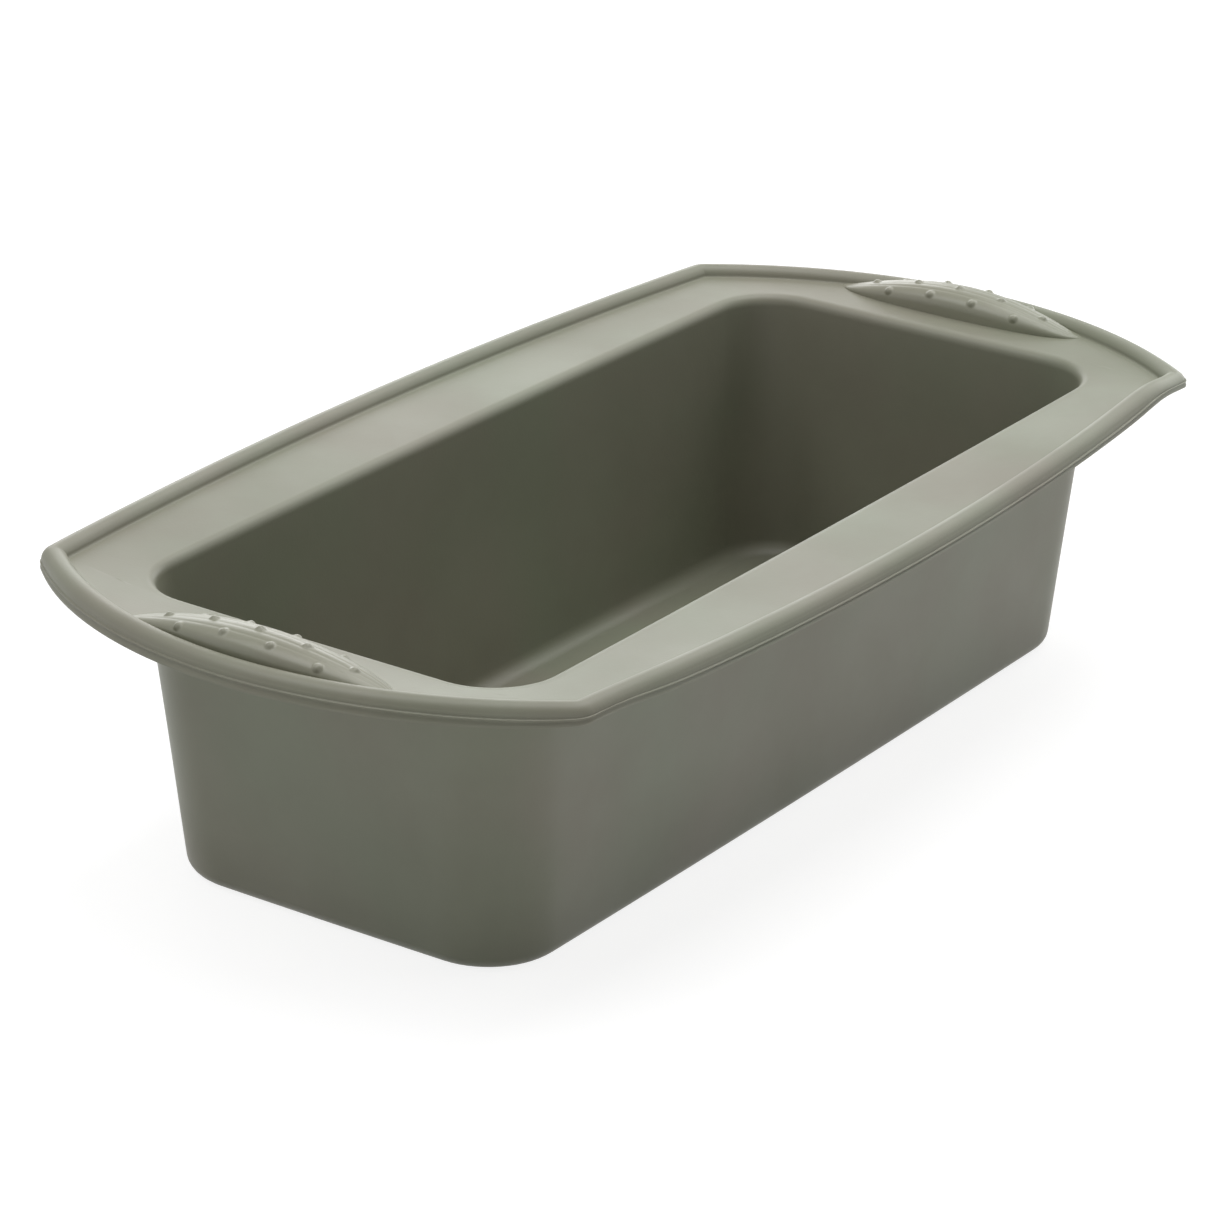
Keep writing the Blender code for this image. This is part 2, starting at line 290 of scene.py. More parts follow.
@dataclass(frozen=True)
class WireFinish:
    """Drawn steel wire: bright metal with fine streaks along it.

    Attributes:
        name: Name of the material.
        tone: Colour of the metal, linear.
        streak_size: Width of the drawing streaks.
        roughness: Lowest and highest roughness.
    """

    name: str
    tone: tuple[float, float, float] = (0.56, 0.57, 0.58)
    streak_size: float = 0.0003
    roughness: tuple[float, float] = (0.25, 0.45)

    def material(self) -> bpy.types.Material:
        """Builds the material.

        Returns:
            The material, whose streaks lie on the object's own coordinates.
        """
        material, tree = new_material(self.name)
        place = add_node(tree, "ShaderNodeTexCoord").outputs["Object"]
        streaks = add_node(tree, "ShaderNodeTexNoise", vector=place, scale=1 / self.streak_size, detail=3.0)
        low, high = self.roughness
        gloss = add_node(tree, "ShaderNodeMapRange", value=streaks, to_min=low, to_max=high)
        shader = tree.nodes["Principled BSDF"]
        feed_node(tree, shader, base_color=(*self.tone, 1.0), metallic=1.0, roughness=gloss)
        return material


@dataclass(frozen=True)
class SweepFinish:
    """The studio's matt paper floor. It is seen white, with a soft share of the shadows that fall on it.

    Attributes:
        name: Name of the material.
        tone: Colour of the paper as it throws light back, linear.
        open_tone: Colour of the paper as it is seen, set so that it is about white where no shadow falls.
        shadow_share: How much of the paper is seen, from 0 to 1; the rest is plain white.
    """

    name: str
    tone: Colour = (0.85, 0.85, 0.85)
    open_tone: Colour = (2.0, 2.0, 2.0)
    shadow_share: float = 0.16

    def material(self) -> bpy.types.Material:
        """Builds the material.

        Returns:
            The material, which lights nothing by itself.
        """
        material, tree = new_material(self.name)
        paper = tree.nodes["Principled BSDF"]
        feed_node(tree, paper, base_color=(*self.tone, 1.0), roughness=1.0, specular_ior_level=0.0)
        shaded = add_node(tree, "ShaderNodeBsdfDiffuse", color=(*self.open_tone, 1.0))
        white = add_node(tree, "ShaderNodeEmission", color=(1.0, 1.0, 1.0, 1.0), strength=1.0)
        seen = add_node(tree, "ShaderNodeMixShader", terms=(self.shadow_share, white, shaded))
        mix = add_node(tree, "ShaderNodeMixShader", terms=(background_rays(tree), paper, seen))
        feed_node(tree, tree.nodes["Material Output"], surface=mix)
        material.cycles.emission_sampling = "NONE"
        return material


# Shapes shared by the pieces


def arc(centre: tuple[float, float], radius: float, start: float, stop: float, steps: int) -> Section:
    """Points along an arc, both ends included.

    Args:
        centre: Centre of the arc.
        radius: Its radius.
        start: First angle, in radians.
        stop: Last angle, in radians.
        steps: Number of steps between them.

    Returns:
        The points in order.
    """
    angles = np.linspace(start, stop, steps + 1)
    return [(centre[0] + radius * math.cos(a), centre[1] + radius * math.sin(a)) for a in angles]


def smooth_share(value: np.ndarray | float, low: float, high: float) -> np.ndarray | float:
    """Rises smoothly from 0 to 1 as a value goes from low to high."""
    share = np.clip((value - low) / (high - low), 0.0, 1.0)
    return share * share * (3 - 2 * share)


def soft_curve(
    start: Sequence[float] | np.ndarray,
    turn: Sequence[float] | np.ndarray,
    stop: Sequence[float] | np.ndarray,
    steps: int,
) -> list[np.ndarray]:
    """Points along a curve that is tightest in its middle, both ends included.

    Args:
        start: Where the curve starts, heading for the turn.
        turn: The corner that it rounds.
        stop: Where it stops, coming from the turn.
        steps: Number of steps between the points.

    Returns:
        The points in order.
    """
    start, turn, stop = np.array(start), np.array(turn), np.array(stop)
    shares = np.linspace(0.0, 1.0, steps + 1)
    return [(1 - t) ** 2 * start + 2 * t * (1 - t) * turn + t**2 * stop for t in shares]


def softened(corners: np.ndarray, reach: float, steps: int = 3, most: float = 0.45) -> np.ndarray:
    """Rounds the inner corners of a profile with short curves.

    Args:
        corners: The profile's corners in order, each with an inset and a height for every place on the rim.
        reach: How far along each side a corner's curve starts, where the sides are long enough.
        steps: Number of steps in each curve.
        most: The largest share of a side that a curve takes.

    Returns:
        The softened profile, whose first and last corners stay.
    """
    soft = [corners[0]]
    for before, corner, after in zip(corners, corners[1:], corners[2:]):
        ends = []
        for side in (before - corner, after - corner):
            length = np.linalg.norm(side, axis=1, keepdims=True)
            ends.append(corner + side * np.minimum(most, reach / length))
        soft += soft_curve(ends[0], corner, ends[1], steps)
    soft.append(corners[-1])
    return np.array(soft)


def between(first: np.ndarray, last: np.ndarray, count: int) -> list[np.ndarray]:
    """Rings spaced evenly between two rings, without either of them."""
    shares = np.linspace(0.0, 1.0, count + 2)[1:-1]
    return [first * (1 - share) + last * share for share in shares]


def sheet_between(
    first: np.ndarray, last: np.ndarray, count: int, rounds: int = 800, tolerance: float = 1e-20
) -> list[np.ndarray]:
    """A sheet stretched between two rings like a soap film, so that no fold runs between their corners.

    The points are spaced evenly between the rings. Their heights are those at which each point is pulled
    equally from all sides, found by conjugate gradients.

    Args:
        first: The ring that the sheet starts from.
        last: The ring that it ends in.
        count: Number of rings between them.
        rounds: Most steps that the search for the heights may take.
        tolerance: Sum of the squared pulls at which it stops.

    Returns:
        The rings between the two.
    """
    rings = np.array([first, *between(first, last, count), last])
    number = np.arange(rings.shape[0] * rings.shape[1]).reshape(rings.shape[:2])
    onward = np.roll(number, -1, axis=1)
    a, b, c, d = (corner.ravel() for corner in (number[:-1], onward[:-1], onward[1:], number[1:]))
    triangles = np.concatenate([np.stack((a, b, c), axis=1), np.stack((a, c, d), axis=1)])
    plan = rings[..., :2].reshape(-1, 2)
    starts, stops, strengths = [], [], []
    for turn in range(3):
        start, stop, facing = np.roll(triangles, turn, axis=1).T
        one, other = plan[start] - plan[facing], plan[stop] - plan[facing]
        area = np.abs(one[:, 0] * other[:, 1] - one[:, 1] * other[:, 0])
        starts.append(start)
        stops.append(stop)
        strengths.append(np.sum(one * other, axis=1) / area)
    starts, stops, strengths = (np.concatenate(parts) for parts in (starts, stops, strengths))
    free = np.ones(rings.shape[:2])
    free[0] = free[-1] = 0.0
    free = free.ravel()

    def pull(values: np.ndarray) -> np.ndarray:
        """How hard each free point is pulled down by its neighbours.

        Args:
            values: The height of every point.

        Returns:
            The pulls, which are 0 on the two rings.
        """
        flow = strengths * (values[starts] - values[stops])
        size = len(values)
        return (np.bincount(starts, flow, size) - np.bincount(stops, flow, size)) * free

    height = rings[..., 2].ravel()
    rest = -pull(height)
    step = rest.copy()
    before = rest @ rest
    for _ in range(rounds):
        pulled = pull(step)
        share = before / (step @ pulled)
        height = height + share * step
        rest = rest - share * pulled
        after = rest @ rest
        if after < tolerance:
            break
        step = rest + after / before * step
        before = after
    rings[..., 2] = height.reshape(rings.shape[:2])
    return list(rings[1:-1])


def skin(bm: bmesh.types.BMesh, rings: Sequence[np.ndarray]) -> list[list[bmesh.types.BMVert]]:
    """Lofts rings of equal length into one shell that is capped at both ends.

    Args:
        bm: The mesh that gets the shell.
        rings: The rings in order.

    Returns:
        The new vertices, ring by ring.
    """
    rows = [[bm.verts.new(point) for point in ring] for ring in rings]
    count = len(rows[0])
    bm.faces.new(rows[0])
    bm.faces.new(rows[-1])
    for low, high in zip(rows, rows[1:]):
        for i in range(count):
            j = (i + 1) % count
            bm.faces.new((low[i], low[j], high[j], high[i]))
    return rows


def new_piece(name: str, bm: bmesh.types.BMesh, material: bpy.types.Material | None) -> bpy.types.Object:
    """Turns a bmesh into a smooth-shaded object with its faces out.

    Args:
        name: Name of the piece.
        bm: Its mesh, which is freed.
        material: Its one material.

    Returns:
        The new object, at the origin.
    """
    bmesh.ops.recalc_face_normals(bm, faces=bm.faces)
    mesh = bpy.data.meshes.new(name)
    bm.to_mesh(mesh)
    bm.free()
    mesh.shade_smooth()
    if material:
        mesh.materials.append(material)
    piece = bpy.data.objects.new(name, mesh)
    bpy.context.scene.collection.objects.link(piece)
    return piece


def baked(piece: bpy.types.Object) -> bpy.types.Object:
    """Turns a piece's modifiers into plain mesh.

    Args:
        piece: The object to bake, which keeps its name.

    Returns:
        The same object, with the evaluated mesh and no modifiers.
    """
    evaluated = piece.evaluated_get(bpy.context.evaluated_depsgraph_get())
    mesh = bpy.data.meshes.new_from_object(evaluated)
    mesh.name = piece.name
    piece.modifiers.clear()
    piece.data = mesh
    return piece


@dataclass(frozen=True)
class Fineness:
    """How many steps the plan's curves take.

    Attributes:
        half_end: Steps in half of a bowed end.
        corner: Steps in a corner.
        half_side: Steps in half of a bowed side.
    """

    half_end: int = 28
    corner: int = 14
    half_side: int = 34


def bow_radius(half_chord: float, bow: float) -> float:
    """Radius of the arc that stands out by a bow in the middle of a chord."""
    return (half_chord**2 + bow**2) / (2 * bow)


@dataclass(frozen=True)
class BowedOutline:
    """A rectangle with four bowed sides and round corners, seen from above.

    Attributes:
        length: Overall length, in X.
        width: Overall width, in Y.
        end_bow: How far the middle of an end stands out from its corners.
        side_bow: How far the middle of a side stands out from its corners.
        corner_radius: Radius between an end and a side.
        sharpest_corner: Smallest radius left when the outline is drawn in.
    """

    length: float
    width: float
    end_bow: float
    side_bow: float
    corner_radius: float
    sharpest_corner: float = 0.0005

    def end_arc(self) -> tuple[float, float]:
        """Centre in X and radius of the arc that bounds the +X end."""
        radius = bow_radius(self.width / 2 - self.side_bow, self.end_bow)
        return self.length / 2 - radius, radius

    def side_arc(self) -> tuple[float, float]:
        """Centre in Y and radius of the arc that bounds the +Y side."""
        radius = bow_radius(self.length / 2 - self.end_bow, self.side_bow)
        return self.width / 2 - radius, radius

    def end_x(self, y: float, inset: float) -> float:
        """X of the +X end at a distance y from the middle, drawn in by inset."""
        centre, radius = self.end_arc()
        return centre + math.sqrt((radius - inset) ** 2 - y**2)

    def side_y(self, x: float, inset: float) -> float:
        """Y of the +Y side at a distance x from the middle, drawn in by inset."""
        centre, radius = self.side_arc()
        return centre + math.sqrt((radius - inset) ** 2 - x**2)

    def ring(self, inset: float, height: float, steps: Fineness) -> np.ndarray:
        """The outline as a ring of points.

        Args:
            inset: How far it is drawn in, or out where this is below zero.
            height: Z of the ring.
            steps: How many points its curves get.

        Returns:
            An array of points, starting at the middle of the +X end and going towards +Y.
        """
        end_x, end_radius = self.end_arc()
        side_y, side_radius = self.side_arc()
        corner = max(self.corner_radius - inset, self.sharpest_corner)
        to_end = end_radius - inset - corner
        to_side = side_radius - inset - corner
        span = math.hypot(end_x, side_y)
        along = (to_end**2 - to_side**2 + span**2) / (2 * span)
        across = math.sqrt(to_end**2 - along**2)
        unit = (-end_x / span, side_y / span)
        corner_x = end_x + along * unit[0] - across * unit[1]
        corner_y = along * unit[1] + across * unit[0]
        end_angle = math.atan2(corner_y, corner_x - end_x)
        side_angle = math.atan2(corner_y - side_y, corner_x)
        quarter = arc((end_x, 0.0), end_radius - inset, 0.0, end_angle, steps.half_end)
        quarter += arc((corner_x, corner_y), corner, end_angle, side_angle, steps.corner)[1:]
        quarter += arc((0.0, side_y), side_radius - inset, side_angle, math.pi / 2, steps.half_side)[1:]
        half = quarter + [(-x, y) for x, y in reversed(quarter[:-1])]
        whole = half + [(x, -y) for x, y in reversed(half[1:-1])]
        return np.array([(x, y, height) for x, y in whole])

    def past_corner(self, ring: np.ndarray, steps: Fineness) -> np.ndarray:
        """How far each point of a ring lies past the nearest corner, along the side.

        Args:
            ring: A ring made with the same steps.
            steps: How many points the ring's curves have.

        Returns:
            The distances, which are negative along the ends.
        """
        x, y = np.abs(ring[:, 0]), np.abs(ring[:, 1])
        corner = steps.half_end + steps.corner // 2
        along_side = x[corner] - x
        along_end = y[corner] - y
        return np.hypot(along_side, along_end) * np.sign(along_side - along_end)


# The moulding


@dataclass(frozen=True)
class EdgeSizes:
    """Sizes of the rim's edge under the bead, each a number or an array with one for each place on the rim.

    Attributes:
        parting_height: Height of the parting line over the underside.
        ledge: How far the lip and the parting line stand out from the bead's face.
        under_radius: Radius under the edge.
        lift: How far the underside lies above the ends' underside.
    """

    parting_height: float | np.ndarray
    ledge: float | np.ndarray
    under_radius: float | np.ndarray
    lift: float | np.ndarray

    def towards(self, other: "EdgeSizes", share: np.ndarray) -> "EdgeSizes":
        """Sizes that go over to another set as share goes from 0 to 1."""
        pairs = zip(astuple(self), astuple(other))
        return EdgeSizes(*(own * (1 - share) + new * share for own, new in pairs))


@dataclass(frozen=True)
class PanShape:
    """The pan's sizes, and the outlines and heights that follow from them.

    Attributes:
        rim_length: Overall length of the rim.
        rim_width: Overall width of the rim.
        rim_height: Height of the top of the bead.
        rim_end_bow: Bow of the rim's ends.
        rim_side_bow: Bow of the rim's sides.
        rim_corner_radius: Radius of the rim's corners.
        cavity_length: Length of the cavity at the flange.
        cavity_width: Width of the cavity at the flange.
        cavity_depth: Depth from the flange to the floor.
        cavity_corner_radius: Radius of the cavity's corners.
        cavity_end_bow: Bow of the cavity's ends.
        cavity_side_bow: Bow of the cavity's sides.
        end_draft: Slope of the end walls.
        side_draft: Slope of the side walls.
        wall: Thickness of the walls.
        floor: Thickness of the floor.
        floor_radius: Radius between the floor and the walls, inside.
        base_radius: Radius round the base, outside.
        mouth_reach: How far from the mouth's corner its rounding starts, on the flange and on the wall.
        flange: Thickness of the flange.
        flange_rise: How far the flange rises from the cavity to the bead.
        under_flange_radius: Radius between the wall and the flange, outside.
        bead_width: Width of the rim's bead.
        rim_depth: How far the rim's edge reaches below the crease.
        lip_height: Height of the lower lip of the rim's edge.
        parting_width: Height of the parting line itself.
        end_edge: Sizes of the edge in the middle of an end.
        side_edge: Sizes of the edge in the middle of a side.
        corner_edge: Sizes of the edge at a corner.
        edge_change: How far from a corner the edge takes to go over from an end's sizes to a side's.
        corner_place: How far past a corner, along the side, the edge has the corner's own sizes.
        corner_reach: How far those sizes reach along the rim from there.
        rim_twist: How far the soft rim has risen at the -X end and the +Y side, and sunk at the others.
        hang_depth: How far the rim of the -Y side hangs at its lowest.
        hang_start: How far past the corners that side hangs in full.
        hang_place: X of its lowest place.
        hang_span: Distance from there to where the rim is level again.
        hang_rise: How far it rises at most beyond that.
        mouth_set: How far the cavity's mouth has risen in the middle, and how much more at the +X end and at
            the +Y side.
        wire_inset: Distance of the wire, and of the holes under it, from the rim's edge.
        wire_drop: How far the wire lies below the crease.
    """

    rim_length: float
    rim_width: float
    rim_height: float
    rim_end_bow: float = 0.0265
    rim_side_bow: float = 0.0071
    rim_corner_radius: float = 0.0060
    cavity_length: float = 0.2504
    cavity_width: float = 0.1044
    cavity_depth: float = 0.0670
    cavity_corner_radius: float = 0.0155
    cavity_end_bow: float = 0.0003
    cavity_side_bow: float = 0.0008
    end_draft: float = math.radians(4.7)
    side_draft: float = math.radians(4.4)
    wall: float = 0.0024
    floor: float = 0.0025
    floor_radius: float = 0.0038
    base_radius: float = 0.0035
    mouth_reach: float = 0.0025
    flange: float = 0.0020
    flange_rise: float = 0.0017
    under_flange_radius: float = 0.0030
    bead_width: float = 0.0060
    rim_depth: float = 0.0022
    lip_height: float = 0.0005
    parting_width: float = 0.0002
    end_edge: EdgeSizes = EdgeSizes(0.0019, 0.00045, 0.00008, 0.0)
    side_edge: EdgeSizes = EdgeSizes(0.0011, 0.00045, 0.00008, 0.0)
    corner_edge: EdgeSizes = EdgeSizes(0.0013, 0.00022, 0.00025, 0.0010)
    edge_change: float = 0.060
    corner_place: float = 0.008
    corner_reach: float = 0.014
    rim_twist: float = 0.0003
    hang_depth: float = 0.00085
    hang_start: float = 0.020
    hang_place: float = -0.035
    hang_span: float = 0.080
    hang_rise: float = 0.0017
    mouth_set: tuple[float, float, float] = (0.00080, 0.00055, 0.00050)
    wire_inset: float = 0.0031
    wire_drop: float = 0.0002

    @classmethod
    def of_frame(cls, body: str) -> "PanShape":
        """Takes the rim's length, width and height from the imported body's box."""
        low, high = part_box(body)
        return cls(high[0] - low[0], high[1] - low[1], high[2] - low[2])

    @property
    def flange_height(self) -> float:
        """Height of the flange's top where it meets the cavity."""
        return self.floor + self.cavity_depth

    @property
    def crease_height(self) -> float:
        """Height of the flange's top where it meets the bead."""
        return self.flange_height + self.flange_rise

    @property
    def bead_height(self) -> float:
        """Height of the bead over the crease."""
        return self.rim_height - self.crease_height

    @property
    def underside_height(self) -> float:
        """Height of the lowest part of the rim."""
        return self.crease_height - self.rim_depth

    def rim(self) -> BowedOutline:
        """The rim's outline."""
        sizes = (self.rim_length, self.rim_width, self.rim_end_bow, self.rim_side_bow)
        return BowedOutline(*sizes, self.rim_corner_radius)

    def cavity(self, height: float) -> BowedOutline:
        """The outline of the cavity's inner face.

        Args:
            height: Height at which it is wanted.

        Returns:
            The outline there.
        """
        drop = self.flange_height - height
        length = self.cavity_length - 2 * drop * math.tan(self.end_draft)
        width = self.cavity_width - 2 * drop * math.tan(self.side_draft)
        bows = (self.cavity_end_bow, self.cavity_side_bow)
        return BowedOutline(length, width, *bows, self.cavity_corner_radius)

    def edge(self, steps: Fineness) -> EdgeSizes:
        """The sizes of the rim's edge.

        Args:
            steps: How many points the rim's curves get.

        Returns:
            The sizes at every place on the rim.
        """
        outermost = self.rim().ring(0.0, 0.0, steps)
        past = self.rim().past_corner(outermost, steps)
        to_side = smooth_share(past, -self.edge_change, self.edge_change)
        at_corner = np.exp(-(((past - self.corner_place) / self.corner_reach) ** 2))
        edge = self.end_edge.towards(self.side_edge, to_side).towards(self.corner_edge, at_corner)
        return replace(edge, lift=edge.lift - self.twist_rise(outermost))

    def twist_rise(self, points: np.ndarray) -> np.ndarray:
        """How far the rim's twist moves points up. The underside of its edge stays level."""
        along, across = 2 * points[:, 0] / self.rim_length, 2 * points[:, 1] / self.rim_width
        return self.rim_twist * (across - along)

    def hang_drop(self, points: np.ndarray, steps: Fineness) -> np.ndarray:
        """How far the hanging side's rim is down.

        Args:
            points: A ring of points on the rim.
            steps: How many points its curves have.

        Returns:
            The distance at each point, which is below zero where the rim has risen.
        """
        away = (points[:, 0] - self.hang_place) / self.hang_span
        drop = np.maximum(self.hang_depth * (1 - away**2), -self.hang_rise)
        on_side = smooth_share(self.rim().past_corner(points, steps), 0.0, self.hang_start)
        return drop * on_side * (points[:, 1] < 0)

    def mouth_rise(self, points: np.ndarray, height: float) -> np.ndarray:
        """How far the mouth's set moves points of the walls up, less the lower they are.

        Args:
            points: A ring of points on the walls.
            height: Height of the ring.

        Returns:
            The distance at each point.
        """
        middle, at_end, at_side = self.mouth_set
        along, across = 2 * points[:, 0] / self.cavity_length, 2 * points[:, 1] / self.cavity_width
        return (middle + at_end * along + at_side * across) * (height / self.flange_height) ** 2


@dataclass
class PanBody:
    """The silicone moulding: cavity, drafted walls, bowed flange and beaded rim.

    Attributes:
        shape: The pan's sizes.
        finish: The silicone.
        steps: How finely its plan is stepped.
        wall_rings: Rings between the fillets of a wall.
        flange_rings: Rings across the flange.
        fillet_steps: Steps in a fillet.
        mouth_steps: Steps round the cavity's mouth.
        bead_steps: Steps over the bead.
        bead_start: Angle from level at which the bead's round face leaves its upright foot.
        bead_stop: Angle at which it meets the curve down to the crease.
        crease_reach: Width of that curve on the flange.
        soft_reach: How far the edge's small corners are rounded.
        ledge_slope: How steeply the ledges at the parting line fall, as a share of their width.
        lip_hollow: How far in the lip's sloping face is halfway up, as a share of the ledges' width.
        wave_depth: Depth of the walls' soft unevenness.
        wave_size: Size of it.
        pin_hole_diameter: Diameter of the holes under the rim.
        pin_hole_spacing: Distance between them along a side.
        pin_holes_per_side: Number of holes along a side.
        sharp_angle: Smallest angle between two faces that is shaded as an edge.
    """

    shape: PanShape
    finish: SiliconeFinish
    steps: Fineness = field(default_factory=Fineness)
    wall_rings: int = 16
    flange_rings: int = 14
    fillet_steps: int = 8
    mouth_steps: int = 12
    bead_steps: int = 16
    bead_start: float = math.radians(12)
    bead_stop: float = math.radians(162)
    crease_reach: float = 0.00045
    soft_reach: float = 0.00010
    ledge_slope: float = 0.35
    lip_hollow: float = 0.75
    wave_depth: float = 0.00015
    wave_size: float = 0.060
    pin_hole_diameter: float = 0.0016
    pin_hole_spacing: float = 0.0800
    pin_holes_per_side: int = 3
    sharp_angle: float = math.radians(50)

    def wall_ring(self, outset: float, height: float) -> np.ndarray:
        """A ring of the drafted wall.

        Args:
            outset: How far it is moved out from the cavity's inner face.
            height: Height of the ring before the mouth's set.

        Returns:
            The ring.
        """
        ring = self.shape.cavity(height).ring(-outset, height, self.steps)
        ring[:, 2] += self.shape.mouth_rise(ring, height)
        return ring

    def rim_ring(self, inset: np.ndarray, height: np.ndarray) -> np.ndarray:
        """A ring of the rim.

        Args:
            inset: How far each of its points is drawn in from the rim's outermost edge.
            height: Z of each point.

        Returns:
            The ring.
        """
        rim = self.shape.rim()
        outermost = rim.ring(0.0, 0.0, self.steps)
        inward = rim.ring(self.shape.bead_width / 2, 0.0, self.steps) - outermost
        inward /= np.linalg.norm(inward, axis=1, keepdims=True)
        middle = float(np.mean(inset))
        ring = rim.ring(middle, 0.0, self.steps) + inward * (inset - middle)[:, None]
        ring[:, 2] = height + self.shape.twist_rise(outermost) - self.shape.hang_drop(outermost, self.steps)
        return ring

    def waved(self, rings: list[np.ndarray]) -> list[np.ndarray]:
        """Gives the wall's rings the soft unevenness of a flexible moulding, less towards both ends.

        Args:
            rings: The rings from one end of the wall to the other.

        Returns:
            The same rings, moved in or out.
        """
        for number, ring in enumerate(rings):
            share = math.sin(math.pi * number / (len(rings) - 1))
            for point in ring:
                wave = noise.noise(Vector(point) / self.wave_size) * self.wave_depth * share
                point[:2] *= 1 + wave / math.hypot(point[0], point[1])
        return rings

    def outer_wall(self) -> list[np.ndarray]:
        """Runs from the base's round edge up the wall and out under the flange.

        Returns:
            The rings in that order.
        """
        s = self.shape
        across = s.wall - s.base_radius
        edge = arc((across, s.base_radius), s.base_radius, -math.pi / 2, 0.0, self.fillet_steps)
        level = s.flange_height - s.flange - s.under_flange_radius
        across = s.wall + s.under_flange_radius
        under = arc((across, level), s.under_flange_radius, math.pi, math.pi / 2, self.fillet_steps)
        low = [self.wall_ring(*point) for point in edge]
        high = [self.wall_ring(*point) for point in under]
        return low + self.waved(between(low[-1], high[0], self.wall_rings)) + high

    def rim_edge(self) -> np.ndarray:
        """Profile of the rim's edge, from under the crease up to the foot of the bead.

        Returns:
            An inset and a height for every corner of the profile and every place on the rim.
        """
        s = self.shape
        edge = s.edge(self.steps)
        everywhere = np.ones_like(edge.lift)
        under = s.underside_height + edge.lift
        radius, ledge = edge.under_radius, edge.ledge
        lip = under + np.maximum(s.lip_height, radius)
        parting = under + edge.parting_height
        beneath = (s.crease_height - s.flange) * everywhere
        corners = [
            (s.bead_width * everywhere, beneath),
            (s.bead_width * everywhere - self.crease_reach, beneath),
            (radius + s.lip_height, under),
        ]
        for angle in np.linspace(0.0, math.pi / 2, self.fillet_steps // 2):
            corners.append((radius * (1 - math.sin(angle)), under + radius * (1 - math.cos(angle))))
        corners += [
            (0.0 * everywhere, lip),
            (ledge * self.lip_hollow, (lip + parting) / 2),
            (ledge, parting - ledge * self.ledge_slope),
            (0.0 * everywhere, parting),
            (0.0 * everywhere, parting + s.parting_width),
            (ledge, parting + s.parting_width + ledge * self.ledge_slope),
            (ledge, s.crease_height + ledge),
        ]
        return np.array([np.stack(corner, axis=1) for corner in corners])

    def bead(self) -> list[tuple[np.ndarray, np.ndarray]]:
        """Profile of the bead's round face and of the tight curve from it on to the flange.

        Returns:
            An inset and a height for every place on the rim, point after point of the profile.
        """
        s = self.shape
        ledge = s.edge(self.steps).ledge
        everywhere = np.ones_like(ledge)
        half_width = (s.bead_width - ledge) / 2
        face = []
        for angle in np.linspace(self.bead_start, self.bead_stop, self.bead_steps + 1):
            inset = ledge + half_width * (1 - math.cos(angle))
            face.append((inset, (s.crease_height + s.bead_height * math.sin(angle)) * everywhere))
        start = np.array(face[-1])
        turn = np.array([s.bead_width * everywhere, s.crease_height * everywhere])
        stop = turn + np.array([[self.crease_reach], [0.0]])
        return face + soft_curve(start, turn, stop, self.fillet_steps - 1)[1:]

    def inner_wall(self) -> list[np.ndarray]:
        """Runs from the flange over the round mouth, down the cavity's wall and in to the floor.

        Returns:
            The rings in that order.
        """
        s = self.shape
        start, stop = (s.mouth_reach, s.flange_height), (0.0, s.flange_height - s.mouth_reach)
        mouth = soft_curve(start, (0.0, s.flange_height), stop, self.mouth_steps)
        centre = (-s.floor_radius, s.floor + s.floor_radius)
        heel = arc(centre, s.floor_radius, 0.0, -math.pi / 2, self.fillet_steps)
        high = [self.wall_ring(*point) for point in mouth]
        low = [self.wall_ring(*point) for point in heel]
        return high + self.waved(between(high[-1], low[0], self.wall_rings)) + low

    def pin_hole_centres(self) -> Section:
        """Where the mould's pins held the wire: in the middle of each end and along each side.

        Returns:
            X and Y of each hole.
        """
        rim, inset = self.shape.rim(), self.shape.wire_inset
        centres = [(end.value * rim.end_x(0.0, inset), 0.0) for end in End]
        middle = (self.pin_holes_per_side - 1) / 2
        for index in range(self.pin_holes_per_side):
            x = (index - middle) * self.pin_hole_spacing
            y = rim.side_y(x, inset)
            centres += [(x, y), (x, -y)]
        return centres

    def pin_hole_cutter(self) -> bpy.types.Object:
        """Makes the holes' cutter, one cylinder instanced on each of their centres.

        Returns:
            The cutter, which has no material.
        """
        top = self.shape.crease_height - self.shape.wire_drop
        bottom = self.shape.underside_height - self.shape.rim_depth
        bm = bmesh.new()
        for x, y in self.pin_hole_centres():
            bm.verts.new((x, y, (top + bottom) / 2))
        cutter = new_piece("pin_hole_cutter", bm, None)
        PegTree().put_on(cutter, diameter=self.pin_hole_diameter, height=top - bottom)
        return baked(cutter)

    def build(self) -> bpy.types.Object:
        """Builds the moulding.

        Returns:
            The finished piece, standing for the CAD body.
        """
        outer = self.outer_wall()
        edge = softened(self.rim_edge(), self.soft_reach)
        rim = [self.rim_ring(profile[:, 0], profile[:, 1]) for profile in edge]
        rim += [self.rim_ring(*profile) for profile in self.bead()]
        inner = self.inner_wall()
        rings = outer + sheet_between(outer[-1], rim[0], self.flange_rings)
        rings += rim + sheet_between(rim[-1], inner[0], self.flange_rings) + inner
        bm = bmesh.new()
        skin(bm, rings)
        piece = new_piece("pan_moulding", bm, self.finish.material())
        cutter = self.pin_hole_cutter()
        drill = piece.modifiers.new("pin holes", "BOOLEAN")
        drill.operation = "DIFFERENCE"
        drill.solver = "EXACT"
        drill.object = cutter
        baked(piece)
        bpy.data.objects.remove(cutter, do_unlink=True)
        piece.data.set_sharp_from_angle(angle=self.sharp_angle)
        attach(piece, BODY)
        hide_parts("pan_body")
        return piece


# What repeats or follows a path, made by geometry nodes


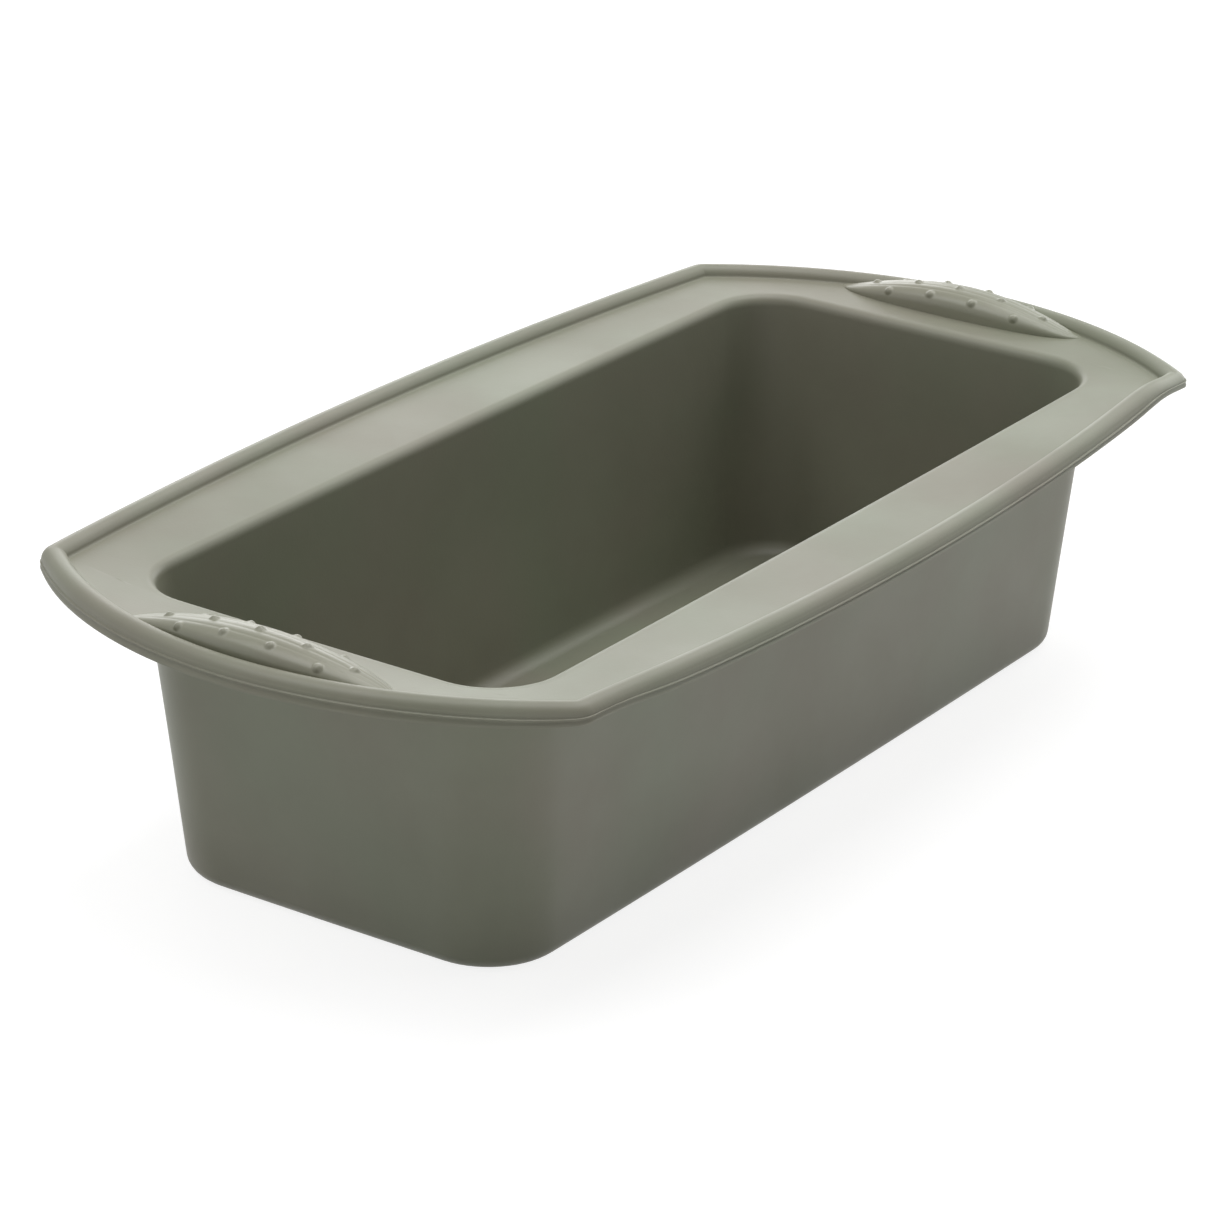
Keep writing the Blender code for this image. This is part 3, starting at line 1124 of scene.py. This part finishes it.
@dataclass
class GeometryTree:
    """A geometry node tree with named inputs, and how it is put on a piece.

    Attributes:
        name: Name of the tree.
        tree: The node group, made when it is put on.
        start: Its input node.
        sockets: Its inputs by name.
    """

    name: str = "tree"
    tree: bpy.types.NodeTree | None = None
    start: bpy.types.Node | None = None
    sockets: dict[str, bpy.types.NodeTreeInterfaceSocket] = field(default_factory=dict)

    def begin(self, sizes: Sequence[str], counts: Sequence[str] = ()) -> None:
        """Makes the group with inputs for geometry, a material, and what is named.

        Args:
            sizes: Names of the inputs that take a number.
            counts: Names of the inputs that take a whole number.
        """
        self.tree = bpy.data.node_groups.new(self.name, "GeometryNodeTree")
        self.tree.is_modifier = True
        sockets = {"Geometry": "NodeSocketGeometry", "Material": "NodeSocketMaterial"}
        sockets |= dict.fromkeys(sizes, "NodeSocketFloat") | dict.fromkeys(counts, "NodeSocketInt")
        for name, kind in sockets.items():
            self.sockets[name] = self.tree.interface.new_socket(name, in_out="INPUT", socket_type=kind)
        self.tree.interface.new_socket("Geometry", in_out="OUTPUT", socket_type="NodeSocketGeometry")
        self.start = self.node("NodeGroupInput")

    def given(self, name: str) -> bpy.types.NodeSocket:
        """What the group is given for one of its inputs."""
        return self.start.outputs[name]

    def node(self, kind: str, *rest: object, **inputs: Feed) -> bpy.types.Node:
        """Adds a node to the group, with the settings and terms that add_node takes."""
        return add_node(self.tree, kind, *rest, **inputs)

    def maths(self, operation: str, *terms: Feed) -> bpy.types.Node:
        """Adds a maths node that works on the terms, such as "MULTIPLY"."""
        return self.node("ShaderNodeMath", {"operation": operation}, terms)

    def finish(self, geometry: Feed) -> None:
        """Ends the group in Realize Instances, Set Shade Smooth and Set Material.

        Args:
            geometry: What the group has made.
        """
        real = self.node("GeometryNodeRealizeInstances", geometry=geometry)
        smooth = self.node("GeometryNodeSetShadeSmooth", geometry=real)
        dressed = self.node("GeometryNodeSetMaterial", geometry=smooth, material=self.given("Material"))
        self.node("NodeGroupOutput", geometry=dressed)

    def build(self) -> None:
        """Fills the group. Each kind of tree has its own."""
        raise NotImplementedError

    def put_on(self, piece: bpy.types.Object, **inputs: bpy.types.Material | float) -> None:
        """Puts the tree on a piece and sets its inputs by their identifiers.

        Args:
            piece: The object that gets the modifier.
            **inputs: The material and the numbers, by the inputs' names in lower case with _ for a space.
        """
        self.build()
        modifier = piece.modifiers.new(self.name, "NODES")
        modifier.node_group = self.tree
        for name, socket in self.sockets.items():
            key = name.lower().replace(" ", "_")
            if key in inputs:
                modifier[socket.identifier] = inputs[key]


@dataclass
class PegTree(GeometryTree):
    """Instances an upright cylinder on every point.

    Attributes:
        sides: Number of sides of a cylinder.
        turn: Turn of each, which keeps its upright edges off the edges of a mesh that it cuts.
    """

    name: str = "pegs"
    sides: int = 24
    turn: float = 0.1

    def build(self) -> None:
        """Fills the group."""
        self.begin(("Diameter", "Height"))
        peg = self.node("GeometryNodeMeshCylinder", {"fill_type": "NGON"}, vertices=self.sides)
        radius = self.maths("MULTIPLY", self.given("Diameter"), 0.5)
        feed_node(self.tree, peg, radius=radius, depth=self.given("Height"))
        pegs = self.node("GeometryNodeInstanceOnPoints", points=self.given("Geometry"), instance=peg)
        feed_node(self.tree, pegs, rotation=(0.0, 0.0, self.turn))
        self.finish(pegs)


@dataclass
class WireTree(GeometryTree):
    """Sweeps a round section along a loop of edges.

    Attributes:
        sides: Number of sides of the section.
    """

    name: str = "wire"
    sides: int = 20

    def build(self) -> None:
        """Fills the group."""
        self.begin(("Diameter",))
        path = self.node("GeometryNodeMeshToCurve", mesh=self.given("Geometry"))
        radius = self.maths("MULTIPLY", self.given("Diameter"), 0.5)
        circle = self.node("GeometryNodeCurvePrimitiveCircle", {"mode": "RADIUS"})
        feed_node(self.tree, circle, resolution=self.sides, radius=radius)
        self.finish(self.node("GeometryNodeCurveToMesh", curve=path, profile_curve=circle))


@dataclass
class GripReliefTree(GeometryTree):
    """Raises ribs and nubs from a smooth pillow.

    The ribs follow the pillow's "across" attribute, which runs from 0 at the foot by the bead to 1 at the
    foot by the cavity, and fade with its "relief" attribute. Each row of nubs is a line of points that is
    dropped on to the pillow.

    Attributes:
        rows: Number of rows of nubs.
    """

    name: str = "grip relief"
    rows: int = 3

    def nub_points(self) -> bpy.types.Node:
        """The centres of the nubs, on the pillow's surface.

        Returns:
            The node that gives the points.
        """
        lines = self.node("GeometryNodeJoinGeometry")
        pitch = self.given("Nub Pitch")
        onward = self.node("ShaderNodeCombineXYZ", y=pitch)
        for row in range(1, self.rows + 1):
            count = self.given(f"Row {row} Nubs")
            half = self.maths("MULTIPLY", self.maths("SUBTRACT", count, 1.0), -0.5)
            y = self.maths("MULTIPLY", half, pitch)
            place = (self.given(f"Row {row} Place"), y, self.given("Drop Height"))
            first = self.node("ShaderNodeCombineXYZ", None, place)
            line = self.node("GeometryNodeMeshLine", {"mode": "OFFSET"}, count=count)
            feed_node(self.tree, line, start_location=first, offset=onward)
            feed_node(self.tree, lines, geometry=line)
        ray = self.node("GeometryNodeRaycast", target_geometry=self.given("Geometry"))
        feed_node(self.tree, ray, ray_direction=(0.0, 0.0, -1.0))
        return self.node("GeometryNodeSetPosition", geometry=lines, position=ray.outputs["Hit Position"])

    def rib_height(self) -> bpy.types.Node:
        """Height of the ribs, which is zero on their crowns and lowest in the grooves between them.

        Returns:
            The node that gives it.
        """
        marks = ("across", "relief")
        across, fade = (self.node("GeometryNodeInputNamedAttribute", name=mark) for mark in marks)
        turn = self.maths("MULTIPLY", across, self.given("Ribs"))
        wave = self.maths("ABSOLUTE", self.maths("SINE", self.maths("MULTIPLY", turn, math.pi)))
        crown = self.maths("POWER", wave, self.given("Rib Crown"))
        groove = self.maths("SUBTRACT", crown, 1.0)
        return self.maths("MULTIPLY", groove, self.maths("MULTIPLY", self.given("Rib Depth"), fade))

    def nub_height(self) -> bpy.types.Node:
        """Height of the nubs, soft domes that fall with the distance to the nearest of their centres.

        Returns:
            The node that gives it.
        """
        near = self.node("GeometryNodeProximity", {"target_element": "POINTS"}, (self.nub_points(),))
        radius = self.maths("MULTIPLY", self.given("Nub Diameter"), 0.5)
        level = self.maths("MULTIPLY", radius, self.given("Nub Flat"))
        rise = self.node("ShaderNodeMapRange", {"interpolation_type": "SMOOTHSTEP"})
        feed_node(self.tree, rise, value=near.outputs["Distance"], from_min=radius, from_max=level)
        return self.maths("MULTIPLY", rise, self.given("Nub Height"))

    def build(self) -> None:
        """Fills the group."""
        sizes = ["Ribs", "Rib Depth", "Rib Crown", "Drop Height"]
        sizes += [f"Nub {size}" for size in ("Diameter", "Height", "Flat", "Pitch")]
        rows = range(1, self.rows + 1)
        self.begin(sizes + [f"Row {row} Place" for row in rows], [f"Row {row} Nubs" for row in rows])
        height = self.maths("ADD", self.rib_height(), self.nub_height())
        outward = self.node("ShaderNodeVectorMath", {"operation": "SCALE"})
        feed_node(self.tree, outward, vector=self.node("GeometryNodeInputNormal"), scale=height)
        self.finish(self.node("GeometryNodeSetPosition", geometry=self.given("Geometry"), offset=outward))


# The wire and the grips


@dataclass
class RimWire:
    """The hoop of steel wire inside the bead.

    Attributes:
        shape: The pan's sizes.
        finish: The steel.
        diameter: Diameter of the wire.
        bend_radius: Radius of its bends at the rim's corners.
    """

    shape: PanShape
    finish: WireFinish
    diameter: float = 0.0022
    bend_radius: float = 0.0040

    def build(self) -> bpy.types.Object:
        """Builds the wire.

        Returns:
            The finished piece, standing for the CAD wire.
        """
        s = self.shape
        outline = replace(s.rim(), corner_radius=self.bend_radius + s.wire_inset)
        path = outline.ring(s.wire_inset, s.crease_height - s.wire_drop, Fineness())
        bm = bmesh.new()
        corners = [bm.verts.new(point) for point in path]
        for first, second in zip(corners, corners[1:] + corners[:1]):
            bm.edges.new((first, second))
        piece = new_piece("rim_hoop", bm, None)
        WireTree().put_on(piece, material=self.finish.material(), diameter=self.diameter)
        baked(piece)
        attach(piece, BODY)
        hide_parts("rim_wire")
        return piece


@dataclass(frozen=True)
class NubRow:
    """One row of nubs.

    Attributes:
        inset: Distance from the bead in the middle of the end.
        count: Number of nubs.
    """

    inset: float
    count: int


@dataclass
class Grip:
    """A long pillow on the flange, ribbed along its length, with three rows of nubs.

    Attributes:
        end: The end of the pan that it is on.
        shape: The pan's sizes.
        finish: The silicone.
        seat: The moulding that it stands on.
        length: Length from tip to tip.
        width: Width of its foot in the middle.
        fullness: How slowly the width falls towards the tips.
        height: Height over the flange in the middle.
        crest: Where the crest lies across the width, from the bead.
        shoulder: How square the section is; lower is squarer.
        taper: How fast the height falls towards the tips.
        sink: How far the foot goes into the flange.
        ribs: Number of ribs across it.
        rib_depth: Depth of the grooves between them.
        rib_crown: How round the ribs are; lower makes the grooves narrower.
        rib_start: How far across from either foot the ribs begin, as a share.
        rib_full: How far across they have their full depth.
        nub_diameter: Diameter of a nub's foot.
        nub_height: Height of a nub.
        nub_flat: Share of a nub's radius that is level on top.
        nub_pitch: Distance between the nubs of a row.
        rows: The rows of nubs.
        stations: Steps along it.
        section_steps: Steps across it.
        crowding: Share of the stations' places that crowds towards the tips.
        reach: How far along it they go, as a share.
        least: Smallest share that the width and height fall to.
    """

    end: End
    shape: PanShape
    finish: SiliconeFinish
    seat: BVHTree
    length: float = 0.0710
    width: float = 0.0134
    fullness: float = 0.57
    height: float = 0.0063
    crest: float = 0.53
    shoulder: float = 0.27
    taper: float = 1.05
    sink: float = 0.0003
    ribs: int = 9
    rib_depth: float = 0.00012
    rib_crown: float = 0.6
    rib_start: float = 0.20
    rib_full: float = 0.36
    nub_diameter: float = 0.0029
    nub_height: float = 0.00060
    nub_flat: float = 0.15
    nub_pitch: float = 0.0124
    rows: tuple[NubRow, ...] = (NubRow(0.0028, 4), NubRow(0.0073, 5), NubRow(0.0119, 4))
    stations: int = 340
    section_steps: int = 110
    crowding: float = 0.65
    reach: float = 0.9999
    least: float = 1e-5

    def seat_height(self, x: float, y: float) -> float:
        """Height of the flange under the grip.

        Args:
            x: X of a point of the grip, on the +X end.
            y: Its Y.

        Returns:
            Z of the flange under it.
        """
        above = Vector((self.end.value * x, y, self.shape.rim_height + self.height))
        hit, _, _, _ = self.seat.ray_cast(above, Vector((0.0, 0.0, -1.0)))
        return hit.z

    def section(self, y: float) -> list[tuple[float, float, float]]:
        """The pillow's section at a distance y from its middle.

        Args:
            y: Distance along the grip.

        Returns:
            For each point X and Z on the +X end, and how far across the pillow it is.
        """
        share = max(1 - (2 * y / self.length) ** 2, self.least)
        width = self.width * share**self.fullness
        crest_height = self.height * share**self.taper
        foot = self.shape.rim().end_x(y, self.shape.bead_width)
        crest_x = foot - width * self.crest
        points = []
        for step in range(self.section_steps + 1):
            angle = math.pi / 2 * (1 - math.cos(math.pi * step / self.section_steps))
            across = math.cos(angle)
            reach = self.crest if across > 0 else 1 - self.crest
            x = crest_x + width * reach * across
            up = (crest_height + self.sink) * (1 - across**2) ** self.shoulder - self.sink
            points.append((x, self.seat_height(x, y) + up, angle / math.pi))
        return points

    def ribbed(self, share: float) -> float:
        """How deep the ribs are at a share of the way across, from 0 to 1."""
        return float(smooth_share(min(share, 1 - share), self.rib_start, self.rib_full))

    def pillow(self) -> bpy.types.Object:
        """Makes the smooth pillow with the attributes that its relief needs.

        Returns:
            The pillow, on its end of the pan.
        """
        bm = bmesh.new()
        across_layer = bm.verts.layers.float.new("across")
        relief_layer = bm.verts.layers.float.new("relief")
        rings = []
        marks = []
        for station in range(self.stations + 1):
            t = station / self.stations
            even, eased = 2 * t - 1, -math.cos(math.pi * t)
            y = self.length / 2 * ((1 - self.crowding) * even + self.crowding * eased) * self.reach
            section = self.section(y)
            rings.append(np.array([(self.end.value * x, y, z) for x, z, _ in section]))
            fade = max(1 - (2 * y / self.length) ** 2, 0.0) ** 0.5
            marks.append([(share, fade * self.ribbed(share)) for _, _, share in section])
        rows = skin(bm, rings)
        for row, row_marks in zip(rows, marks):
            for vert, (share, fade) in zip(row, row_marks):
                vert[across_layer] = share
                vert[relief_layer] = fade
        return new_piece(f"grip_pad_{self.end.name.lower()}", bm, None)

    def build(self) -> bpy.types.Object:
        """Builds the grip.

        Returns:
            The finished piece, standing for the CAD grip.
        """
        piece = self.pillow()
        rim = self.shape.rim()
        places = {}
        for number, row in enumerate(self.rows, start=1):
            x = rim.end_x(0.0, self.shape.bead_width + row.inset)
            places[f"row_{number}_place"] = self.end.value * x
            places[f"row_{number}_nubs"] = row.count
        GripReliefTree(rows=len(self.rows)).put_on(
            piece,
            material=self.finish.material(),
            ribs=float(self.ribs),
            rib_depth=self.rib_depth,
            rib_crown=self.rib_crown,
            nub_diameter=self.nub_diameter,
            nub_height=self.nub_height,
            nub_flat=self.nub_flat,
            nub_pitch=self.nub_pitch,
            drop_height=self.shape.rim_height + 2 * self.height,
            **places,
        )
        baked(piece)
        for name in ("across", "relief"):
            piece.data.attributes.remove(piece.data.attributes[name])
        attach(piece, BODY)
        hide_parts(f"grip_{self.end.name.lower()}")
        return piece


# The studio


@dataclass(frozen=True)
class Softbox:
    """A square area lamp that faces the pan.

    Attributes:
        name: Name of the lamp.
        azimuth: Its direction from the pan in degrees, from +X towards +Y.
        elevation: Its angle above the floor in degrees.
        power: Its power in watts.
        distance: From the pan to the lamp.
        size: Length of its side.
        aim_height: Height of the point that it faces.
    """

    name: str
    azimuth: float
    elevation: float
    power: float
    distance: float = 1.40
    size: float = 0.80
    aim_height: float = 0.04

    def build(self) -> bpy.types.Object:
        """Adds the lamp to the scene.

        Returns:
            The lamp, facing the pan.
        """
        lamp = bpy.data.lights.new(self.name, "AREA")
        lamp.shape = "SQUARE"
        lamp.size = self.size
        lamp.energy = self.power
        holder = bpy.data.objects.new(self.name, lamp)
        around, up = math.radians(self.azimuth), math.radians(self.elevation)
        towards = Vector((math.cos(around) * math.cos(up), math.sin(around) * math.cos(up), math.sin(up)))
        place = towards * self.distance
        facing = Vector((0.0, 0.0, self.aim_height)) - place
        turn = facing.to_track_quat("-Z", "Y").to_matrix().to_4x4()
        holder.matrix_world = Matrix.Translation(place) @ turn
        bpy.context.scene.collection.objects.link(holder)
        return holder


@dataclass(frozen=True)
class PhotoCamera:
    """The camera at the photograph's viewing angle.

    Attributes:
        azimuth: Angle round the pan; 0 looks along +Y.
        elevation: Angle above the horizon.
        roll: Turn about the line of sight.
        distance: From the camera to its target.
        target_height: Height of the target over the base's centre.
        focal_pixels: Focal length in pixels of the frame.
        offset_pixels: How far the target lies right of and below the frame's centre, in pixels.
        frame_pixels: Width and height of the frame.
        sensor: Sensor width in millimetres.
        clip: Nearest and farthest distance that it shows.
    """

    azimuth: float = math.radians(-55.773)
    elevation: float = math.radians(22.679)
    roll: float = math.radians(0.834)
    distance: float = 1.02121
    target_height: float = 0.0279
    focal_pixels: float = 4311.775
    offset_pixels: tuple[float, float] = (30.776, 21.288)
    frame_pixels: int = 1229
    sensor: float = 36.0
    clip: tuple[float, float] = (0.05, 50.0)

    def build(self) -> bpy.types.Object:
        """Adds the camera to the scene and makes it the scene's camera.

        Returns:
            The camera.
        """
        az, el = self.azimuth, self.elevation
        back = Vector((math.sin(az) * math.cos(el), -math.cos(az) * math.cos(el), math.sin(el)))
        right = Vector((math.cos(az), math.sin(az), 0.0))
        up = back.cross(right)
        turned_right = math.cos(self.roll) * right + math.sin(self.roll) * up
        turned_up = math.cos(self.roll) * up - math.sin(self.roll) * right
        camera = bpy.data.cameras.new("photo camera")
        camera.sensor_width = self.sensor
        camera.lens = self.focal_pixels * self.sensor / self.frame_pixels
        camera.shift_x = -self.offset_pixels[0] / self.frame_pixels
        camera.shift_y = self.offset_pixels[1] / self.frame_pixels
        camera.clip_start, camera.clip_end = self.clip
        holder = bpy.data.objects.new("photo camera", camera)
        axes = Matrix((turned_right, turned_up, back)).transposed().to_4x4()
        place = Vector((0.0, 0.0, self.target_height)) + back * self.distance
        holder.matrix_world = Matrix.Translation(place) @ axes
        bpy.context.scene.collection.objects.link(holder)
        bpy.context.scene.camera = holder
        return holder


@dataclass
class Studio:
    """A white sweep and softboxes, mostly above and behind the pan as the camera sees it.

    Attributes:
        camera: The photograph's camera.
        floor: Finish of the floor.
        lamps: The softboxes.
        floor_size: Side of the floor.
    """

    camera: PhotoCamera = field(default_factory=PhotoCamera)
    floor: SweepFinish = SweepFinish("studio paper")
    lamps: tuple[Softbox, ...] = (
        Softbox("top softbox", 0, 85, 6.2),
        Softbox("high softbox beyond the far end", 0, 60, 7.0),
        Softbox("high softbox by the left corner", 135, 60, 6.4),
        Softbox("middle softbox by the right corner", 315, 35, 2.5),
        Softbox("low softbox beyond the far end", 0, 15, 3.5),
        Softbox("low softbox beyond the far corner", 45, 15, 3.9),
        Softbox("low softbox by the left corner", 135, 15, 1.6),
        Softbox("low softbox by the near corner", 225, 15, 2.2),
    )
    floor_size: float = 8.0

    def build_floor(self) -> bpy.types.Object:
        """Adds the floor under the pan.

        Returns:
            The floor.
        """
        half = self.floor_size / 2
        bm = bmesh.new()
        corners = ((-half, -half, 0.0), (half, -half, 0.0), (half, half, 0.0), (-half, half, 0.0))
        bm.faces.new([bm.verts.new(corner) for corner in corners])
        floor = new_piece("studio_floor", bm, self.floor.material())
        return floor

    def build_world(self) -> None:
        """Sets a world that the camera and glossy surfaces see as white, and that lights nothing."""
        world = bpy.data.worlds.new("studio world")
        world.use_nodes = True
        tree = world.node_tree
        dark, white = tree.nodes["Background"], add_node(tree, "ShaderNodeBackground")
        for background, strength in ((dark, 0.0), (white, 1.0)):
            feed_node(tree, background, color=(1.0, 1.0, 1.0, 1.0), strength=strength)
        mix = add_node(tree, "ShaderNodeMixShader", terms=(background_rays(tree), dark, white))
        feed_node(tree, tree.nodes["World Output"], surface=mix)
        bpy.context.scene.world = world

    def build(self) -> None:
        """Builds the floor, the world, the lamps and the camera."""
        self.build_floor()
        self.build_world()
        for lamp in self.lamps:
            lamp.build()
        self.camera.build()
        bpy.context.scene.view_settings.view_transform = "Standard"


def main() -> None:
    """Builds the pan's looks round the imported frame, and the studio round the pan."""
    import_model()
    shape = PanShape.of_frame("pan_body")
    pan_silicone = SiliconeFinish("pan silicone")
    # The grips take a lighter copy of the pan's silicone. The lighter tone and cloud tone are painted light
    # that stands in for the light on the grips' crests; the lower roughness is real gloss.
    grip_silicone = SiliconeFinish(
        "grip silicone",
        tone=(0.268, 0.278, 0.210),
        cloud_tone=(0.246, 0.249, 0.189),
        roughness=(0.28, 0.36),
    )
    moulding = PanBody(shape, pan_silicone).build()
    pieces = [moulding, RimWire(shape, WireFinish("rim wire steel")).build()]
    seat = BVHTree.FromObject(moulding, bpy.context.evaluated_depsgraph_get())
    pieces += [Grip(end, shape, grip_silicone, seat).build() for end in End]
    for piece in pieces:
        LOG.info("%s: %d faces", piece.name, len(piece.data.polygons))
    Studio().build()


if __name__ == "__main__":
    logging.basicConfig(level=logging.INFO, format="%(message)s")
    main()
